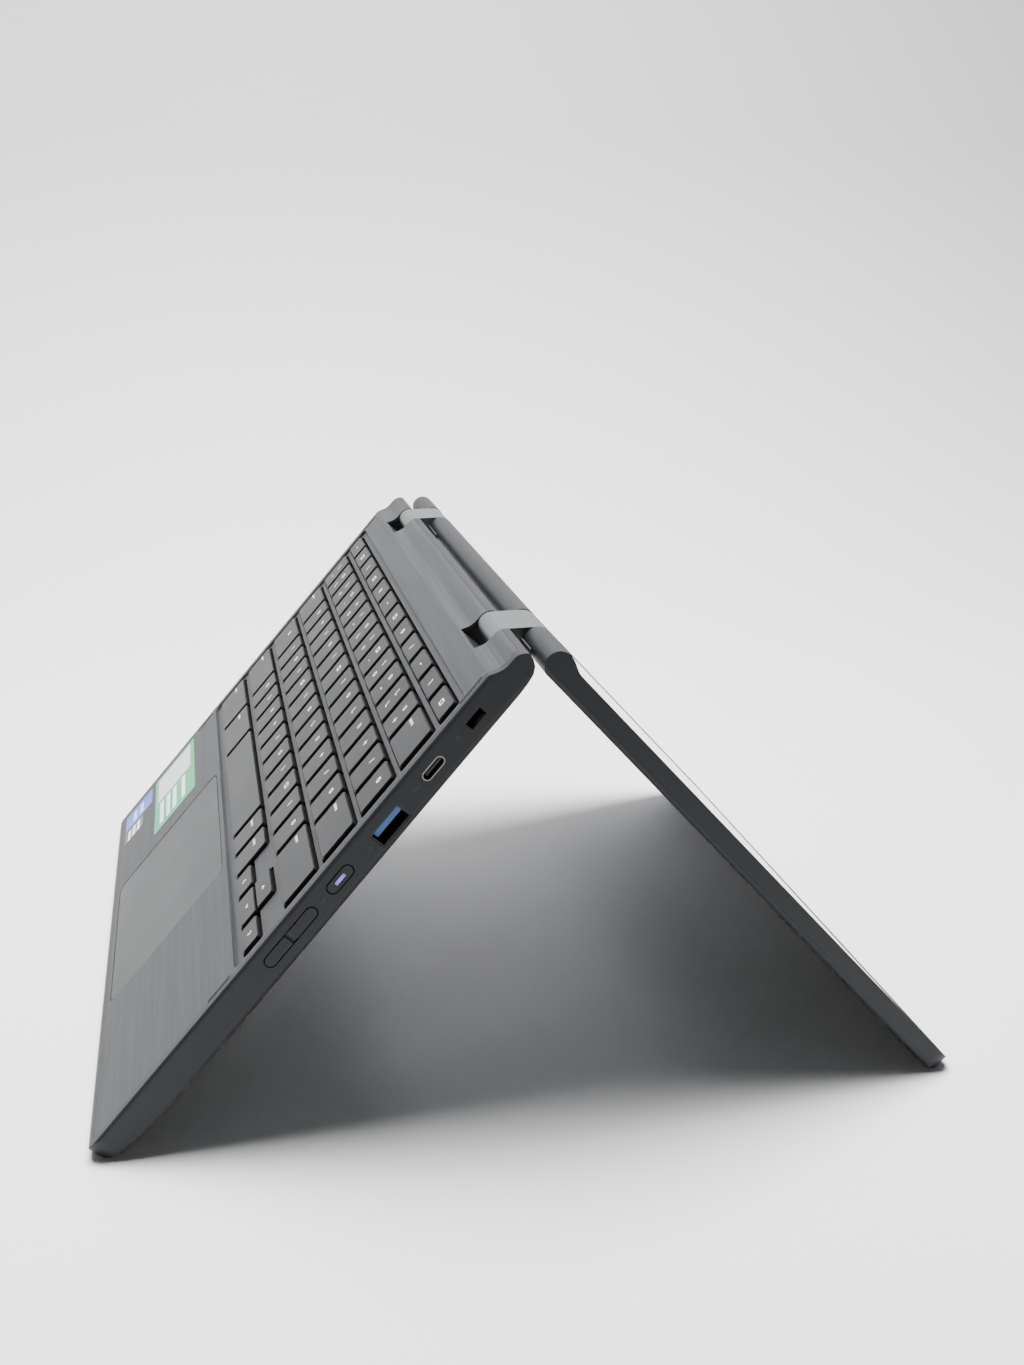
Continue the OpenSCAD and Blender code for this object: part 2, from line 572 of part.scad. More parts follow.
module lid_pockets() both_sides()
  box(-barrel_r - 1, pocket_reach, -pocket_half, pocket_half, lid_low - 1, barrel_r + 1);
module lid_room() {
  box(room_x, lid_reach - 5, -half + 3.4, half - 3.4, bezel_line - 1, lid_front);
  box(room_x, lid_reach - 6.5, -half + 2, half - 2, lid_low + skin, bezel_line + 0.01);
  both_sides_outer() {
    y_cyl(0, 0, bracket_r + bracket_fit, 0, 24.6);
    box(0, room_x + 1, 0, 14, -bracket_r - bracket_fit, bracket_r);
  }
  shaft_bores();
}
module lid_frame() color(col_case) at_lid() difference() {
  lid_solid();
  translate([-20, -half - 1, lid_low - 1]) cube([lid_reach + 30, 2 * half + 2, bezel_line - lid_low + 1]);
  lid_room();
  lid_pockets();
  round_box(8.4, lid_reach - 1.4, -glass_half - 0.05, glass_half + 0.05,
    glass_low, lid_front + 3, corner_r - 2);
}
module lid_back_cover() color(col_case) at_lid() difference() {
  intersection() {
    lid_solid();
    translate([-20, -half - 1, lid_low - 1])
      cube([lid_reach + 30, 2 * half + 2, bezel_line - lid_low + 1]);
  }
  lid_room();
  lid_pockets();
}
module display_glass() color([0.05, 0.05, 0.06]) at_lid()
  round_box(8.45, lid_reach - 1.45, -glass_half, glass_half,
    glass_low, lid_front - glass_drop, corner_r - 2.05);
module display_panel() color([0.1, 0.1, 0.12]) at_lid()
  box(24, lid_reach - 12.9, -half + 9, half - 9, glass_low - 2.6, glass_low);
module display_board() color(col_board) at_lid() box(12, 21, -70, 70, -3, -2);
module webcam_module() color(col_black) at_lid() {
  box(lid_reach - 10, lid_reach - 6.8, -22, 22, -1.4, 0.4);
  translate([lid_reach - 8.4, 0, 0.4]) cylinder(r = 1.3, h = 1);
}

side_frame();
bottom_cover();
deck_plate();
deck_bumpers();
bottom_screws();
rubber_feet();
keyboard_backplate();
key_domes();
main_board();
board_chips();
heat_spreader();
wifi_card();
battery_pack();
speakers();
left_io_board();
touchpad_bracket();
touchpad();
usb_a_shells();
usb_a_tongues();
usb_c_shells();
usb_c_tongues();
audio_jack();
lock_slot_plate();
power_button();
power_light();
volume_rocker();
button_switches();
label_large();
label_square();
label_small();
keys_function();
key_lock();
keys_number();
key_backspace();
key_tab();
keys_upper();
key_search();
keys_home();
key_enter();
key_shift_left();
keys_lower();
key_shift_right();
keys_modifier();
key_space();
key_arrow_left();
key_arrow_up();
key_arrow_down();
key_arrow_right();
hinge_covers();
cable_sleeves();
base_shafts();
base_brackets();
lid_shafts();
lid_brackets();
lid_frame();
lid_back_cover();
display_glass();
display_panel();
display_board();
webcam_module();
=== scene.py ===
import json
import math

import bpy
from mathutils import Matrix, Vector


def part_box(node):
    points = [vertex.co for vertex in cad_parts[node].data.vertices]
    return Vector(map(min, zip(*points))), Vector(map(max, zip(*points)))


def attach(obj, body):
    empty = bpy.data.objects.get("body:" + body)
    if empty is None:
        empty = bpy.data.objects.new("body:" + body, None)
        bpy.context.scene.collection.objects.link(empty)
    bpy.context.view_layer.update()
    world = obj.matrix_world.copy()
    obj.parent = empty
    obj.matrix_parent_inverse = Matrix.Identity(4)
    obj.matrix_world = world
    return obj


bl_info = {
    "name": "Convertible laptop looks",
    "version": (1, 0, 0),
    "blender": (4, 5, 0),
    "location": "View3D > Sidebar > Laptop",
    "description": "Finishes, printed marks and a small studio for the convertible laptop",
    "category": "Object",
}

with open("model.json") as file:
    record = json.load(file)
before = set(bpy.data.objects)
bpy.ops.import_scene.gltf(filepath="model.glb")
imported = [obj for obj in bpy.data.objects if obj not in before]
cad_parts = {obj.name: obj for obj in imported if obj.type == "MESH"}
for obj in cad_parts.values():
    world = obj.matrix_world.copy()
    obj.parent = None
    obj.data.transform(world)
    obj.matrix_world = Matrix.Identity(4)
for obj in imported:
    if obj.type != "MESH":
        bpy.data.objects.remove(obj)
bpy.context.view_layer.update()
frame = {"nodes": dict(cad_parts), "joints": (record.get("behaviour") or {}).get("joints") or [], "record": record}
NODES = frame["nodes"]
JOINTS = {joint["name"]: joint for joint in frame["joints"]}
MOUNTS = {mount["name"]: mount for mount in frame["record"]["mounts"]}
MM = 0.001
ACROSS = Vector((0, 1, 0))
EDGE_ANGLE = math.radians(30)


# ---- the two panels ----
class Panel:
    """A flat frame on one panel: along it away from the viewer, across it to the far side, and out of it."""

    def __init__(self, origin, normal):
        self.origin = Vector(origin)
        self.out = Vector(normal).normalized()
        self.along = Vector((self.out.z, 0, -self.out.x))

    def local(self, point):
        """A point of the row frame as (along, across, out), in metres."""
        step = point - self.origin
        return Vector((step.dot(self.along), point.y, step.dot(self.out)))

    def box(self, node):
        """The lowest and highest corner of a CAD node in this panel's own frame."""
        points = [self.local(vertex.co) for vertex in NODES[node].data.vertices]
        low = Vector([min(point[i] for point in points) for i in range(3)])
        high = Vector([max(point[i] for point in points) for i in range(3)])
        return low, high

    def seat(self, along, across, out):
        """A matrix that lays a flat drawing on the panel, its top away from the front edge."""
        place = self.origin + self.along * along + self.out * out
        place.y = across
        turn = Matrix((-ACROSS, self.along, self.out)).transposed().to_4x4()
        return Matrix.Translation(place) @ turn


BASE = Panel(JOINTS["base_hinge"]["pos_m"], -Vector(JOINTS["key_space_press"]["axis"]))
LID = Panel(JOINTS["lid_hinge"]["pos_m"], MOUNTS["screen_face"]["axis"])


# ---- shader helpers ----
class Wire:
    """A shader value. Arithmetic on it adds Math nodes."""

    def __init__(self, paint, socket):
        self.paint = paint
        self.socket = socket

    def __add__(self, other):
        return self.paint.math("ADD", self, other)

    def __radd__(self, other):
        return self.paint.math("ADD", other, self)

    def __sub__(self, other):
        return self.paint.math("SUBTRACT", self, other)

    def __rsub__(self, other):
        return self.paint.math("SUBTRACT", other, self)

    def __mul__(self, other):
        return self.paint.math("MULTIPLY", self, other)

    def __rmul__(self, other):
        return self.paint.math("MULTIPLY", other, self)

    def __truediv__(self, other):
        return self.paint.math("DIVIDE", self, other)

    def __abs__(self):
        return self.paint.math("ABSOLUTE", self, 0.0)

    def __gt__(self, other):
        return self.paint.math("GREATER_THAN", self, other)

    def __lt__(self, other):
        return self.paint.math("LESS_THAN", self, other)


class Paint:
    """A node material with one Principled shader."""

    def __init__(self, name, **constants):
        self.material = bpy.data.materials.new(name)
        self.material.use_nodes = True
        self.tree = self.material.node_tree
        self.shader = self.tree.nodes["Principled BSDF"]
        self.set(**constants)

    def feed(self, socket, value):
        if isinstance(value, Wire):
            self.tree.links.new(value.socket, socket)
        else:
            socket.default_value = value

    def set(self, **values):
        for name, value in values.items():
            self.feed(self.shader.inputs[name.replace("_", " ")], value)
        return self

    def node(self, kind, settings=None, output=0, **values):
        made = self.tree.nodes.new(kind)
        for name, value in (settings or {}).items():
            if name == "stops":
                self.stops(made.color_ramp.elements, value)
            else:
                setattr(made, name, value)
        for name, value in values.items():
            self.feed(made.inputs[name.replace("_", " ")], value)
        return Wire(self, made.outputs[output])

    def stops(self, elements, values):
        while len(elements) < len(values):
            elements.new(0.5)
        for element, (place, colour) in zip(elements, values):
            element.position = place
            element.color = colour

    def math(self, operation, first, second):
        made = self.tree.nodes.new("ShaderNodeMath")
        made.operation = operation
        self.feed(made.inputs[0], first)
        self.feed(made.inputs[1], second)
        return Wire(self, made.outputs[0])

    def point(self):
        return self.node("ShaderNodeTexCoord", output="Object")

    def dot(self, direction):
        made = self.tree.nodes.new("ShaderNodeVectorMath")
        made.operation = "DOT_PRODUCT"
        self.feed(made.inputs[0], self.point())
        made.inputs[1].default_value = direction
        return Wire(self, made.outputs["Value"])

    def on_panel(self, panel):
        """Millimetres along, across and out of a panel."""
        along = (self.dot(panel.along) - panel.origin.dot(panel.along)) * 1000.0
        across = self.dot(ACROSS) * 1000.0
        out = (self.dot(panel.out) - panel.origin.dot(panel.out)) * 1000.0
        return along, across, out

    def vector(self, x, y, z):
        return self.node("ShaderNodeCombineXYZ", X=x, Y=y, Z=z)

    def noise(self, scale, detail=3.0, vector=None):
        where = self.point() if vector is None else vector
        return self.node("ShaderNodeTexNoise", output="Fac", Vector=where, Scale=scale, Detail=detail)

    def mix(self, factor, first, second):
        made = self.tree.nodes.new("ShaderNodeMix")
        made.data_type = "RGBA"
        self.feed(made.inputs[0], factor)
        self.feed(made.inputs[6], first)
        self.feed(made.inputs[7], second)
        return Wire(self, made.outputs[2])

    def bump(self, height, strength, distance):
        self.set(Normal=self.node("ShaderNodeBump", Height=height, Strength=strength, Distance=distance))
        return self

    def inside(self, value, low, high):
        """1 where value lies between low and high."""
        return (value > low) * (value < high)

    def wear(self, node_names):
        """Puts this finish on CAD nodes."""
        for name in node_names:
            mesh = NODES[name].data
            mesh.materials.clear()
            mesh.materials.append(self.material)
        return self


def tone(colour, factor):
    """A colour made lighter or darker, with its alpha."""
    return tuple(min(1.0, part * factor) for part in colour[:3]) + (1.0,)


def grained(name, colour, roughness, grain, depth, **constants):
    """Moulded or anodised surface: a fine even grain with faint cloudy variation."""
    paint = Paint(name, **constants)
    cloud = paint.noise(45.0, 4.0)
    fine = paint.noise(grain, 2.0)
    paint.set(Base_Color=paint.mix(cloud, tone(colour, 0.86), tone(colour, 1.14)))
    paint.set(Roughness=roughness - 0.05 + cloud * 0.06 + fine * 0.06)
    return paint.bump(fine, depth, 0.00005)


# ---- settings ----
class LaptopFinishes(bpy.types.PropertyGroup):
    case: bpy.props.FloatVectorProperty(
        name="Case", description="Side frame, covers and lid", subtype="COLOR",
        default=(0.009, 0.010, 0.0122))
    deck: bpy.props.FloatVectorProperty(
        name="Deck", description="Brushed keyboard deck", subtype="COLOR", default=(0.036, 0.0375, 0.0405))
    link: bpy.props.FloatVectorProperty(
        name="Links", description="Hinge link covers", subtype="COLOR", default=(0.075, 0.079, 0.081))
    keys: bpy.props.FloatVectorProperty(
        name="Keys", description="Key tops", subtype="COLOR", default=(0.0065, 0.0068, 0.0078))
    pad: bpy.props.FloatVectorProperty(
        name="Touchpad", description="Touchpad surface", subtype="COLOR", default=(0.022, 0.023, 0.0245))
    legend: bpy.props.FloatVectorProperty(
        name="Key marks", description="Printed marks on the keys", subtype="COLOR",
        default=(0.90, 0.91, 0.92))


class LaptopSizes(bpy.types.PropertyGroup):
    mark_height: bpy.props.FloatProperty(
        name="Mark height", description="How far printed marks stand out", default=0.03 * MM, unit="LENGTH")
    stroke: bpy.props.FloatProperty(
        name="Stroke", description="Width of a printed line", default=0.52 * MM, unit="LENGTH")
    lens: bpy.props.FloatProperty(
        name="Camera lens", description="Focal length of the scene camera", default=41.54, unit="CAMERA")
    lamp_power: bpy.props.FloatProperty(
        name="Lamp power", description="Power of the large overhead lamp", default=52.0, unit="POWER")
    floor_reach: bpy.props.FloatProperty(
        name="Floor", description="Distance from the middle of the machine to the curve of the floor",
        default=0.36, unit="LENGTH")


# ---- flat printed marks ----
def clear_selection():
    if bpy.context.object and bpy.context.object.mode != "OBJECT":
        bpy.ops.object.mode_set(mode="OBJECT")
    bpy.ops.object.select_all(action="DESELECT")


def raise_flat(height):
    """Gives the flat shape in edit mode a thickness, and closes it below."""
    bpy.ops.mesh.select_all(action="SELECT")
    bpy.ops.mesh.extrude_region_move(TRANSFORM_OT_translate={"value": (0, 0, height)})
    bpy.ops.mesh.select_all(action="SELECT")
    bpy.ops.mesh.normals_make_consistent(inside=False)
    bpy.ops.object.mode_set(mode="OBJECT")
    return bpy.context.object


def stroke(x, y, width, length, angle, height):
    """A printed line with rounded corners."""
    clear_selection()
    bpy.ops.mesh.primitive_plane_add(size=1.0)
    made = bpy.context.object
    made.scale = (width, length, 1.0)
    bpy.ops.object.transform_apply(location=False, rotation=False, scale=True)
    bpy.ops.object.mode_set(mode="EDIT")
    bpy.ops.mesh.bevel(offset=width * 0.3, segments=2, affect="VERTICES")
    raise_flat(height)
    made.matrix_world = Matrix.Translation((x, y, 0)) @ Matrix.Rotation(math.radians(angle), 4, "Z")
    return made


def ring(x, y, radius, width, height):
    """A printed ring."""
    clear_selection()
    bpy.ops.mesh.primitive_circle_add(vertices=20, radius=radius, fill_type="NGON")
    made = bpy.context.object
    bpy.ops.object.mode_set(mode="EDIT")
    bpy.ops.mesh.select_all(action="SELECT")
    bpy.ops.mesh.inset(thickness=width)
    bpy.ops.mesh.delete(type="FACE")
    raise_flat(height)
    made.matrix_world = Matrix.Translation((x, y, 0))
    return made


def drawing(lines, rings, width, height):
    """Joins strokes (x, y, length, angle) and rings (x, y, radius), in millimetres, into one flat mark."""
    parts = [stroke(x * MM, y * MM, width, length * MM, angle, height) for x, y, length, angle in lines]
    parts += [ring(x * MM, y * MM, radius * MM, width, height) for x, y, radius in rings]
    return joined(parts)


def joined(parts):
    clear_selection()
    for part in parts:
        part.select_set(True)
    bpy.context.view_layer.objects.active = parts[0]
    bpy.ops.object.transform_apply(location=True, rotation=True, scale=True)
    if len(parts) > 1:
        bpy.ops.object.join()
    return bpy.context.object


def stamped(pattern, seat):
    """A copy of a mark, with its own mesh, laid at its seat."""
    made = pattern.copy()
    made.data = pattern.data.copy()
    made.matrix_world = seat
    bpy.context.scene.collection.objects.link(made)
    return made


def finished(made, name, body, paint):
    """Names a piece, gives it its finish and lets it ride on its body."""
    clear_selection()
    made.select_set(True)
    bpy.context.view_layer.objects.active = made
    bpy.ops.object.transform_apply(location=True, rotation=True, scale=True)
    made.name = name
    made.data.name = name
    made.data.materials.clear()
    made.data.materials.append(paint.material)
    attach(made, body)
    return made


def remove(parts):
    for part in parts:
        bpy.data.objects.remove(part, do_unlink=True)


# Generic marks, drawn as strokes (x, y, length, angle) and rings (x, y, radius) in millimetres
GLYPHS = {
    "post": ([(0, 0, 2.6, 0)], []),
    "tick": ([(-0.4, 0, 2.4, 0), (0.3, -1.0, 1.3, 90)], []),
    "ring": ([], [(0, 0, 1.15)]),
    "pair": ([(-0.55, 0, 2.2, 0), (0.55, 0, 2.2, 0)], []),
    "plus": ([(0, 0, 2.2, 0), (0, 0, 2.2, 90)], []),
    "slant": ([(0, 0, 2.6, -25)], []),
    "dash": ([(0, 0, 1.7, 90)], []),
    "dot": ([(0, 0, 0.8, 90)], []),
    "frame": ([(-1.3, 0, 2.2, 0), (1.3, 0, 2.2, 0), (0, -0.9, 2.4, 90), (0, 0.9, 2.4, 90)], []),
    "word": ([(-2.4, 0, 1.3, 0), (-1.5, 0, 1.0, 0), (-0.6, 0, 1.3, 0), (0.3, 0, 1.0, 0), (1.2, 0, 1.0, 0),
              (2.1, 0, 1.3, 0)], []),
    "left": ([(0.1, 0.45, 1.5, -45), (0.1, -0.45, 1.5, 45)], []),
    "right": ([(-0.1, 0.45, 1.5, 45), (-0.1, -0.45, 1.5, -45)], []),
    "up": ([(-0.45, 0, 1.5, -45), (0.45, 0, 1.5, 45)], []),
    "down": ([(-0.45, 0, 1.5, 45), (0.45, 0, 1.5, -45)], []),
}
LETTER_MARKS = ["post", "ring", "tick", "pair", "plus", "slant", "ring", "post", "frame"]
KEY_MARKS = {
    "keys_function": (["dash", "frame", "post", "frame", "pair", "dash", "frame", "ring", "slant", "dash",
                       "post"], []),
    "key_lock": (["frame"], []),
    "keys_number": (LETTER_MARKS, ["dash", "tick", "plus", "dot", "ring"]),
    "keys_upper": (LETTER_MARKS[3:] + LETTER_MARKS[:3], []),
    "keys_home": (LETTER_MARKS[5:] + LETTER_MARKS[:5], []),
    "keys_lower": (LETTER_MARKS[1:] + LETTER_MARKS[:1], []),
    "key_backspace": (["word"], []), "key_tab": (["word"], []), "key_search": (["ring"], []),
    "key_enter": (["word"], []), "key_shift_left": (["word"], []), "key_shift_right": (["word"], []),
    "keys_modifier": (["word"], []),
    "key_arrow_left": (["left"], []), "key_arrow_up": (["up"], []),
    "key_arrow_down": (["down"], []), "key_arrow_right": (["right"], []),
}


def key_spans(node):
    """The stretch across the machine that each key of a row covers, from the left end."""
    mesh = NODES[node].data
    spans = sorted((min(mesh.vertices[i].co.y for i in face.vertices),
                    max(mesh.vertices[i].co.y for i in face.vertices)) for face in mesh.polygons)
    merged = [list(spans[0])]
    for low, high in spans[1:]:
        if low > merged[-1][1] + 0.2 * MM:
            merged.append([low, high])
        merged[-1][1] = max(merged[-1][1], high)
    return merged[::-1]


class LAPTOP_OT_key_marks(bpy.types.Operator):
    """Prints small generic marks on the key tops"""
    bl_idname = "laptop.key_marks"
    bl_label = "Key marks"

    def execute(self, context):
        sizes = context.scene.laptop_sizes
        ink = context.scene.laptop_finishes.legend
        paint = grained("legend_ink", ink, 0.5, 5000.0, 0.05)
        patterns = {name: drawing(lines, rings, sizes.stroke, sizes.mark_height)
                    for name, (lines, rings) in GLYPHS.items()}
        for node, (marks, seconds) in KEY_MARKS.items():
            low, high = BASE.box(node)
            middle = (low.x + high.x) / 2
            top = high.z - sizes.mark_height * 0.3
            single = len(marks) == 1
            lift = 0.0 if high.x - low.x < 9 * MM else 2.6 * MM
            parts = []
            for i, (near, far) in enumerate(key_spans(node)):
                centre = (near + far) / 2
                where = far - 4.6 * MM if single and marks[0] == "word" else centre
                parts.append(stamped(patterns[marks[i % len(marks)]], BASE.seat(middle + lift, where, top)))
                if seconds:
                    second = patterns[seconds[i % len(seconds)]]
                    parts.append(stamped(second, BASE.seat(middle - lift, centre, top)))
            finished(joined(parts), "marks_" + node, "body_" + node, paint)
        remove(patterns.values())
        return {"FINISHED"}


class LAPTOP_OT_side_marks(bpy.types.Operator):
    """Prints the small dark marks beside the openings in the near side"""
    bl_idname = "laptop.side_marks"
    bl_label = "Side marks"

    def execute(self, context):
        sizes = context.scene.laptop_sizes
        paint = grained("side_ink", (0.012, 0.012, 0.013), 0.6, 5000.0, 0.05)
        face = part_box("side_frame")[0].y
        parts = []
        for node, gap, shape in (
                ("power_button", 3.4, ([(0, 0.5, 0.9, 0)], [(0, 0, 0.9)])),
                ("usb_a_shells", 4.0, ([(0, 0, 3.2, 90), (1.2, 0.5, 0.9, 0)], [(-1.5, 0, 0.5)])),
                ("usb_c_shells", 3.6, ([(0, 0, 3.2, 90), (-0.6, 0.6, 1.0, 30)], [(-1.5, 0, 0.5)])),
                ("lock_slot_plate", 3.2, ([(-0.7, -0.4, 1.4, 0), (0.7, -0.4, 1.4, 0), (0, -1.0, 1.6, 90)],
                                          [(0, 0.7, 0.6)]))):
            low, high = BASE.box(node)
            pattern = drawing(*shape, sizes.stroke * 0.8, sizes.mark_height)
            spot = BASE.origin + BASE.along * (low.x - gap * MM) + BASE.out * ((low.z + high.z) / 2)
            spot.y = face + sizes.mark_height * 0.2
            turn = Matrix((BASE.along, BASE.out, -ACROSS)).transposed().to_4x4()
            parts.append(stamped(pattern, Matrix.Translation(spot) @ turn))
            remove([pattern])
        finished(joined(parts), "side_marks", "base", paint)
        return {"FINISHED"}


class LAPTOP_OT_screw_recesses(bpy.types.Operator):
    """Paints the shade of the six-sided driver recess in each bottom screw as a dark flat hexagon"""
    bl_idname = "laptop.screw_recesses"
    bl_label = "Screw recesses"

    def centres(self):
        """The middle of each screw head, in the base's own frame."""
        middles = []
        for point in (BASE.local(vertex.co) for vertex in NODES["bottom_screws"].data.vertices):
            near = [group for group in middles if (group[0] - point).length < 6 * MM]
            if near:
                near[0].append(point)
            else:
                middles.append([point])
        low = BASE.box("bottom_screws")[0].z
        heads = [[point for point in group if point.z < low + 0.01 * MM] for group in middles]
        return [(sum(point.x for point in head) / len(head), sum(point.y for point in head) / len(head), low)
                for head in heads]

    def execute(self, context):
        height = context.scene.laptop_sizes.mark_height
        parts = []
        for along, across, low in self.centres():
            clear_selection()
            bpy.ops.mesh.primitive_circle_add(vertices=6, radius=1.1 * MM, fill_type="NGON")
            made = bpy.context.object
            bpy.ops.object.mode_set(mode="EDIT")
            bpy.ops.mesh.bevel(offset=0.15 * MM, segments=2, affect="VERTICES")
            raise_flat(height)
            made.matrix_world = BASE.seat(along, across, low - height * 0.5)
            parts.append(made)
        # Painted shade: a dark hexagon stands in for the shade inside each driver recess
        paint = grained("screw_recess_shade", (0.02, 0.02, 0.021), 0.5, 2500.0, 0.1, Metallic=0.8)
        finished(joined(parts), "screw_recesses", "base", paint)
        return {"FINISHED"}


# ---- finishes of the CAD pieces ----
class LAPTOP_OT_case(bpy.types.Operator):
    """Finishes the frame, covers and buttons in dark slate satin"""
    bl_idname = "laptop.case"
    bl_label = "Case"

    def satin(self, name, colour, panel, line):
        """Slate satin with a dark parting line at one height of the panel."""
        paint = Paint(name, Specular_IOR_Level=0.28)
        cloud = paint.noise(45.0, 4.0)
        fine = paint.noise(2600.0, 2.0)
        _, _, out = paint.on_panel(panel)
        gap = abs(out - line) < 0.11
        satin = paint.mix(cloud, tone(colour, 0.82), tone(colour, 1.18))
        paint.set(Base_Color=paint.mix(gap, satin, tone(colour, 0.1)))
        paint.set(Roughness=0.44 + cloud * 0.08 + fine * 0.05)
        return paint.bump(fine, 0.03, 0.00003)

    def execute(self, context):
        colour = context.scene.laptop_finishes.case
        self.satin("case_base", colour, BASE, BASE.box("bottom_cover")[0].z * 1000 + 1.4).wear(
            ["side_frame", "bottom_cover", "power_button", "volume_rocker"])
        self.satin("case_lid", colour, LID, LID.box("lid_back_cover")[1].z * 1000).wear(
            ["lid_frame", "lid_back_cover"])
        return {"FINISHED"}


class LAPTOP_OT_deck(bpy.types.Operator):
    """Finishes the deck with brushing that runs across the machine and painted shade in its key recesses, and the
    touchpad smooth
    """
    bl_idname = "laptop.deck"
    bl_label = "Deck and touchpad"

    def execute(self, context):
        colours = context.scene.laptop_finishes
        paint = Paint("deck_brushed", Specular_IOR_Level=0.3)
        along, across, out = paint.on_panel(BASE)
        brushed = paint.noise(1.0, 5.0, paint.vector(along * 3.0, across * 0.02, out * 3.0))
        broad = paint.noise(1.0, 3.0, paint.vector(along * 0.45, across * 0.015, out))
        shade = brushed * 0.65 + broad * 0.35
        ramp = paint.node("ShaderNodeValToRGB", {"stops": [
            (0.32, tone(colours.deck, 0.48)), (0.5, tone(colours.deck, 0.92)),
            (0.7, tone(colours.deck, 1.45))]},
            Fac=shade)
        tray = BASE.box("deck_plate")[1].z * 1000 - 1.15
        # Painted shade: the deck below the key tray, with its hole walls and deeper parts, is painted near black
        # for the shade in the recesses
        tray_recess_shade = (out < tray) * (along < -15.0)
        paint.set(Base_Color=paint.mix(tray_recess_shade, ramp, (0.002, 0.002, 0.002, 1)), Roughness=0.48 + brushed * 0.2)
        paint.bump(brushed, 0.35, 0.00004).wear(["deck_plate"])
        pad = Paint("pad_satin", Specular_IOR_Level=0.3)
        smear = pad.noise(28.0, 5.0)
        pad.set(Base_Color=pad.mix(smear, tone(colours.pad, 0.93), tone(colours.pad, 1.07)))
        pad.set(Roughness=0.42 + smear * 0.12).bump(pad.noise(4200.0, 2.0), 0.04, 0.00003).wear(["touchpad"])
        grained("bumper_rubber", (0.012, 0.012, 0.013), 0.7, 2500.0, 0.2).wear(
            ["deck_bumpers", "rubber_feet"])
        return {"FINISHED"}


class LAPTOP_OT_keys(bpy.types.Operator):
    """Finishes the key tops in fine-grained plastic, with painted shade on the key sides"""
    bl_idname = "laptop.keys"
    bl_label = "Keys"

    def execute(self, context):
        keys = list(KEY_MARKS) + ["key_space"]
        colour = context.scene.laptop_finishes.keys
        paint = Paint("key_plastic", Specular_IOR_Level=0.22)
        cloud = paint.noise(30.0, 4.0)
        fine = paint.noise(3400.0, 2.0)
        _, _, out = paint.on_panel(BASE)
        # Painted shade: the key sides below the top are painted near black for the shade between the keys
        skirt_shade = out < BASE.box("key_space")[1].z * 1000 - 0.42
        top = paint.mix(cloud, tone(colour, 0.75), tone(colour, 1.25))
        paint.set(Base_Color=paint.mix(skirt_shade, top, (0.003, 0.003, 0.003, 1)))
        paint.set(Roughness=0.36 + cloud * 0.1 + fine * 0.06)
        paint.bump(fine, 0.16, 0.00005).wear(keys)
        grained("keyboard_black", (0.004, 0.004, 0.004), 0.8, 1500.0, 0.2).wear(
            ["key_domes", "keyboard_backplate"])
        return {"FINISHED"}


class LAPTOP_OT_hinge(bpy.types.Operator):
    """Finishes the link covers, cable sleeves, shafts and brackets"""
    bl_idname = "laptop.hinge"
    bl_label = "Hinge"

    def execute(self, context):
        colour = context.scene.laptop_finishes.link
        grained("link_satin", colour, 0.45, 2400.0, 0.12, Specular_IOR_Level=0.4).wear(["hinge_covers"])
        grained("sleeve_rubber", (0.008, 0.008, 0.009), 0.6, 1800.0, 0.3).wear(["cable_sleeves"])
        turned = Paint("turned_steel", Metallic=1.0)
        lines = turned.noise(900.0, 3.0, turned.vector(turned.dot((1, 0, 0)), turned.dot(ACROSS) * 6.0,
                                                       turned.dot((0, 0, 1))))
        turned.set(Base_Color=turned.mix(lines, (0.42, 0.42, 0.43, 1), (0.6, 0.6, 0.61, 1)))
        turned.set(Roughness=0.25 + lines * 0.2)
        turned.wear(["base_shafts", "base_brackets", "lid_shafts", "lid_brackets", "bottom_screws"])
        return {"FINISHED"}


class LAPTOP_OT_screen(bpy.types.Operator):
    """Finishes the cover glass with its black border, and the display behind it"""
    bl_idname = "laptop.screen"
    bl_label = "Screen"

    def execute(self, context):
        low, high = LID.box("display_glass")
        eye_low, eye_high = LID.box("webcam_module")
        paint = Paint("screen_glass", Metallic=0.0, IOR=1.5)
        along, across, _ = paint.on_panel(LID)
        border = 9.0
        lit = (paint.inside(along, low.x * 1000 + 1.6 * border, high.x * 1000 - border)
               * paint.inside(across, low.y * 1000 + 0.7 * border, high.y * 1000 - 0.7 * border))
        eye = (eye_low.x + eye_high.x) * 500
        reach = paint.math("SQRT", (along - eye) * (along - eye) + across * across, 0.0)
        lens = paint.inside(reach, 0.0, 1.5)
        rim = paint.inside(reach, 1.5, 2.2)
        colour = paint.mix(lit, (0.004, 0.004, 0.005, 1), (0.012, 0.013, 0.016, 1))
        colour = paint.mix(rim, colour, (0.03, 0.03, 0.032, 1))
        colour = paint.mix(lens, colour, (0.010, 0.012, 0.030, 1))
        dust = paint.noise(220.0, 4.0)
        paint.set(Base_Color=colour, Roughness=0.03 + dust * 0.03 + rim * 0.2)
        paint.wear(["display_glass"])
        grained("panel_film", (0.02, 0.02, 0.024), 0.35, 900.0, 0.05).wear(["display_panel", "webcam_module"])
        return {"FINISHED"}


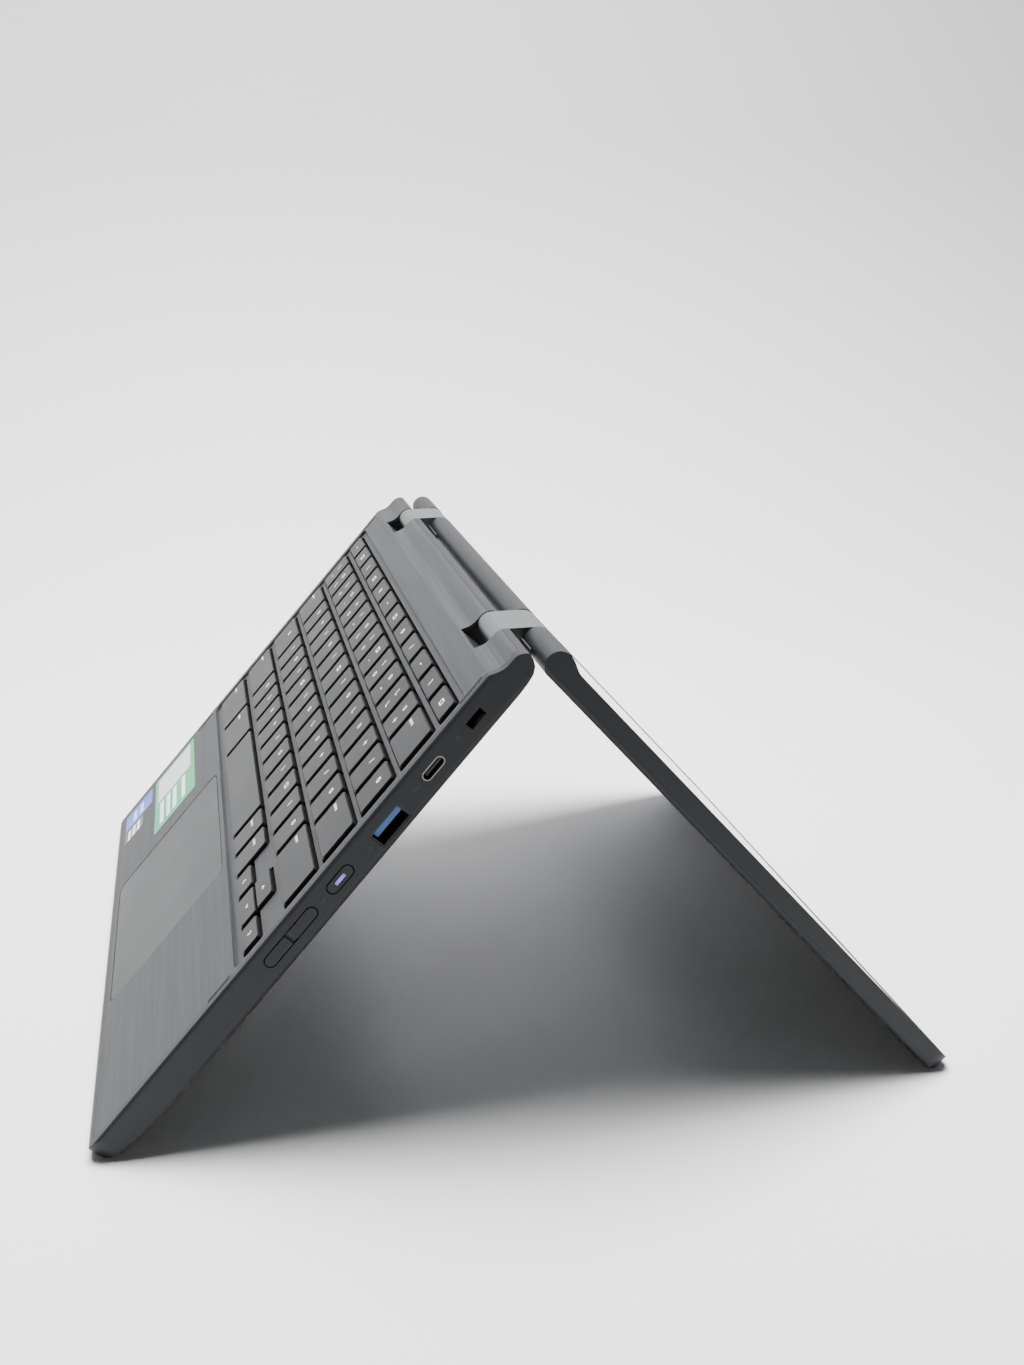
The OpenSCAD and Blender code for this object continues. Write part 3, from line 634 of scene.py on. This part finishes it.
class LAPTOP_OT_ports(bpy.types.Operator):
    """Finishes the jacks, their tongues, the lock plate and the power light"""
    bl_idname = "laptop.ports"
    bl_label = "Ports"

    def execute(self, context):
        shell = Paint("jack_steel", Metallic=1.0)
        grain = shell.noise(1800.0, 3.0)
        shell.set(Base_Color=shell.mix(grain, (0.13, 0.125, 0.115, 1), (0.22, 0.21, 0.195, 1)))
        shell.set(Roughness=0.28 + grain * 0.2)
        shell.wear(["usb_c_shells"])
        grained("jack_dark", (0.035, 0.035, 0.037), 0.4, 1800.0, 0.1, Metallic=0.7).wear(["usb_a_shells"])
        grained("lock_steel", (0.03, 0.03, 0.032), 0.5, 1800.0, 0.1, Metallic=0.6).wear(["lock_slot_plate"])
        grained("tongue_blue", (0.015, 0.10, 0.34), 0.4, 2600.0, 0.1).wear(["usb_a_tongues"])
        grained("tongue_black", (0.01, 0.01, 0.011), 0.45, 2600.0, 0.1).wear(["usb_c_tongues", "audio_jack"])
        lamp = Paint("power_lamp", Roughness=0.4)
        along, _, _ = lamp.on_panel(BASE)
        low, high = BASE.box("power_light")
        middle = (low.x + high.x) * 500
        reach = (high.x - low.x) * 500
        glow = 1.0 - abs(along - middle) / reach * 0.6
        violet = (0.26, 0.22, 0.85, 1)
        lamp.set(Base_Color=lamp.mix(glow, (0.10, 0.09, 0.35, 1), violet))
        lamp.set(Emission_Color=lamp.mix(glow, (0.0, 0.0, 0.0, 1), violet), Emission_Strength=0.45)
        lamp.wear(["power_light"])
        return {"FINISHED"}


class LAPTOP_OT_labels(bpy.types.Operator):
    """Finishes the three adhesive labels with plain generic blocks and bars"""
    bl_idname = "laptop.labels"
    bl_label = "Labels"

    def label(self, name, node):
        """A label's paint, with its two directions running from 0 to 1."""
        paint = Paint(name, Specular_IOR_Level=0.3)
        low, high = BASE.box(node)
        along, across, _ = paint.on_panel(BASE)
        rear = (along - low.x * 1000) / ((high.x - low.x) * 1000)
        far = (across - low.y * 1000) / ((high.y - low.y) * 1000)
        paint.set(Roughness=0.35 + paint.noise(900.0, 2.0) * 0.1)
        return paint, rear, far, along, across

    def bars(self, paint, rear, far, rows, width, start, end):
        """Plain bars that run across the machine, broken up like lines of print."""
        total = 0.0
        for row in rows:
            total = total + paint.inside(rear, row - width, row + width)
        return total * paint.inside(far, start, end)

    def execute(self, context):
        paint, rear, far, along, across = self.label("label_teal", "label_large")
        ground = paint.mix(rear * 0.5 + far * 0.5, (0.010, 0.26, 0.16, 1), (0.012, 0.30, 0.07, 1))
        block = paint.inside(rear, 0.08, 0.9) * paint.inside(far, 0.52, 0.96)
        dark = block * (paint.math("FRACT", (along + across) / 2.4, 0.0) < 0.35)
        text = self.bars(paint, rear, far, (0.18, 0.34, 0.5, 0.72), 0.045, 0.08, 0.47)
        colour = paint.mix(block, ground, (0.72, 0.74, 0.72, 1))
        colour = paint.mix(dark, colour, (0.30, 0.33, 0.30, 1))
        colour = paint.mix(text, colour, (0.75, 0.82, 0.78, 1))
        paint.set(Base_Color=colour).wear(["label_large"])

        paint, rear, far, _, _ = self.label("label_blue", "label_square")
        ground = paint.mix(far, (0.06, 0.10, 0.50, 1), (0.02, 0.06, 0.42, 1))
        text = self.bars(paint, rear, far, (0.35, 0.6), 0.07, 0.15, 0.8)
        paint.set(Base_Color=paint.mix(text, ground, (0.45, 0.52, 0.80, 1))).wear(["label_square"])

        paint, rear, far, _, _ = self.label("label_pale", "label_small")
        text = self.bars(paint, rear, far, (0.25, 0.5, 0.75), 0.08, 0.08, 0.92)
        ground = paint.mix(rear, (0.03, 0.03, 0.032, 1), (0.06, 0.06, 0.062, 1))
        paint.set(Base_Color=paint.mix(text, ground, (0.74, 0.74, 0.72, 1))).wear(["label_small"])
        return {"FINISHED"}


class LAPTOP_OT_inside(bpy.types.Operator):
    """Finishes the boards, chips, cells and other inner pieces"""
    bl_idname = "laptop.inside"
    bl_label = "Inner pieces"

    def execute(self, context):
        board = Paint("board_green", Roughness=0.4)
        along, across, _ = board.on_panel(BASE)
        tracks = board.node("ShaderNodeTexBrick", {"offset": 0.5}, output="Fac",
                            Vector=board.vector(along, across, 0.0), Scale=0.35, Mortar_Size=0.06)
        board.set(Base_Color=board.mix(tracks, (0.015, 0.10, 0.055, 1), (0.05, 0.20, 0.10, 1)))
        board.wear(["main_board", "left_io_board", "wifi_card", "button_switches", "display_board"])
        grained("chip_black", (0.015, 0.015, 0.017), 0.4, 1200.0, 0.1).wear(["board_chips"])
        grained("cell_wrap", (0.02, 0.02, 0.024), 0.3, 700.0, 0.1).wear(["battery_pack"])
        grained("speaker_black", (0.014, 0.014, 0.015), 0.6, 1400.0, 0.3).wear(["speakers"])
        grained("sheet_steel", (0.42, 0.42, 0.43), 0.35, 1400.0, 0.1, Metallic=1.0).wear(
            ["heat_spreader", "touchpad_bracket"])
        return {"FINISHED"}


# ---- studio ----
class LAPTOP_OT_stage(bpy.types.Operator):
    """Builds the pale floor and wall, the soft lamps and the camera"""
    bl_idname = "laptop.stage"
    bl_label = "Studio"

    curve = 0.35

    def sweep(self, reach):
        """A floor that curves up into a wall behind the machine, the wall darkened with painted shade."""
        clear_selection()
        bpy.ops.mesh.primitive_plane_add(size=2.0)
        floor = bpy.context.object
        floor.name = "studio_sweep"
        floor.scale = (6.0, 3.0, 1.0)
        floor.location = (0, reach - 3.0, 0)
        bpy.ops.object.transform_apply(location=True, rotation=False, scale=True)
        bpy.ops.object.mode_set(mode="EDIT")
        bpy.ops.mesh.select_mode(type="EDGE")
        bpy.ops.mesh.select_all(action="DESELECT")
        bpy.ops.object.mode_set(mode="OBJECT")
        for edge in floor.data.edges:
            ends = [floor.data.vertices[i].co.y for i in edge.vertices]
            edge.select = min(ends) > reach - 0.01
        bpy.ops.object.mode_set(mode="EDIT")
        bpy.ops.mesh.spin(steps=24, angle=-math.pi / 2, center=(0, reach, self.curve), axis=(1, 0, 0))
        bpy.ops.mesh.extrude_region_move(TRANSFORM_OT_translate={"value": (0, 0, 3.0)})
        bpy.ops.object.mode_set(mode="OBJECT")
        bpy.ops.object.shade_smooth()
        paint = Paint("studio_paper", Roughness=0.7)
        cloud = paint.noise(3.0, 2.0)
        # Painted shade: the paper turns grey up the wall, because less of the overhead light reaches it
        shade_by_height = paint.dot((0, 0, 1)) / 0.5
        paper = paint.mix(cloud, (0.88, 0.885, 0.895, 1), (0.91, 0.915, 0.92, 1))
        paint.set(Base_Color=paint.mix(paint.math("MINIMUM", shade_by_height, 1.0), paper, (0.50, 0.505, 0.515, 1)))
        floor.data.materials.append(paint.material)

    def lamp(self, name, place, aim, size, power):
        lamp = bpy.data.lights.new(name, "AREA")
        lamp.shape = "RECTANGLE"
        lamp.size, lamp.size_y = size
        lamp.energy = power
        made = bpy.data.objects.new(name, lamp)
        made.location = place
        made.rotation_euler = (Vector(aim) - Vector(place)).to_track_quat("-Z", "Y").to_euler()
        bpy.context.scene.collection.objects.link(made)

    def execute(self, context):
        sizes = context.scene.laptop_sizes
        self.sweep(sizes.floor_reach)
        power = sizes.lamp_power
        self.lamp("lamp_over", (-0.05, 0.12, 1.15), (0, 0.0, 0), (0.85, 0.6), power)
        self.lamp("lamp_wall", (0.0, 0.1, 1.3), (0, 0.71, 0.7), (1.6, 0.3), power * 0.03)
        world = context.scene.world or bpy.data.worlds.new("studio_air")
        context.scene.world = world
        world.use_nodes = True
        air = world.node_tree.nodes["Background"]
        air.inputs["Color"].default_value = (0.86, 0.88, 0.9, 1)
        air.inputs["Strength"].default_value = 0.12
        view = bpy.data.cameras.new("view")
        view.sensor_fit = "VERTICAL"
        view.sensor_height = 36.0
        view.lens = sizes.lens
        view.clip_start = 0.01
        camera = bpy.data.objects.new("view", view)
        camera.location = (-0.0997, -0.5869, 0.2795)
        camera.rotation_euler = (math.radians(90 - 16.2), 0, math.radians(-11.4))
        context.scene.collection.objects.link(camera)
        context.scene.camera = camera
        return {"FINISHED"}


PIECES = (
    LAPTOP_OT_case,
    LAPTOP_OT_deck,
    LAPTOP_OT_keys,
    LAPTOP_OT_key_marks,
    LAPTOP_OT_side_marks,
    LAPTOP_OT_screw_recesses,
    LAPTOP_OT_hinge,
    LAPTOP_OT_screen,
    LAPTOP_OT_ports,
    LAPTOP_OT_labels,
    LAPTOP_OT_inside,
    LAPTOP_OT_stage,
)


class LAPTOP_PT_panel(bpy.types.Panel):
    """Lists the steps that dress the laptop"""
    bl_label = "Laptop"
    bl_idname = "LAPTOP_PT_panel"
    bl_space_type = "VIEW_3D"
    bl_region_type = "UI"
    bl_category = "Laptop"

    def draw(self, context):
        column = self.layout.column()
        for settings in (context.scene.laptop_finishes, context.scene.laptop_sizes):
            for name in settings.__annotations__:
                column.prop(settings, name)
        for piece in PIECES:
            column.operator(piece.bl_idname)


CLASSES = (LaptopFinishes, LaptopSizes) + PIECES + (LAPTOP_PT_panel,)


def register():
    for kind in CLASSES:
        bpy.utils.register_class(kind)
    bpy.types.Scene.laptop_finishes = bpy.props.PointerProperty(type=LaptopFinishes)
    bpy.types.Scene.laptop_sizes = bpy.props.PointerProperty(type=LaptopSizes)


def unregister():
    del bpy.types.Scene.laptop_sizes
    del bpy.types.Scene.laptop_finishes
    for kind in reversed(CLASSES):
        bpy.utils.unregister_class(kind)


def smooth_nodes():
    """Shades the CAD pieces smooth across their curves and crisp at their edges."""
    clear_selection()
    for made in NODES.values():
        made.select_set(True)
    bpy.context.view_layer.objects.active = next(iter(NODES.values()))
    bpy.ops.object.shade_smooth_by_angle(angle=EDGE_ANGLE)
    bpy.ops.object.select_all(action="DESELECT")


def main():
    register()
    smooth_nodes()
    for piece in PIECES:
        group, name = piece.bl_idname.split(".")
        getattr(getattr(bpy.ops, group), name)()


if __name__ == "__main__":
    main()
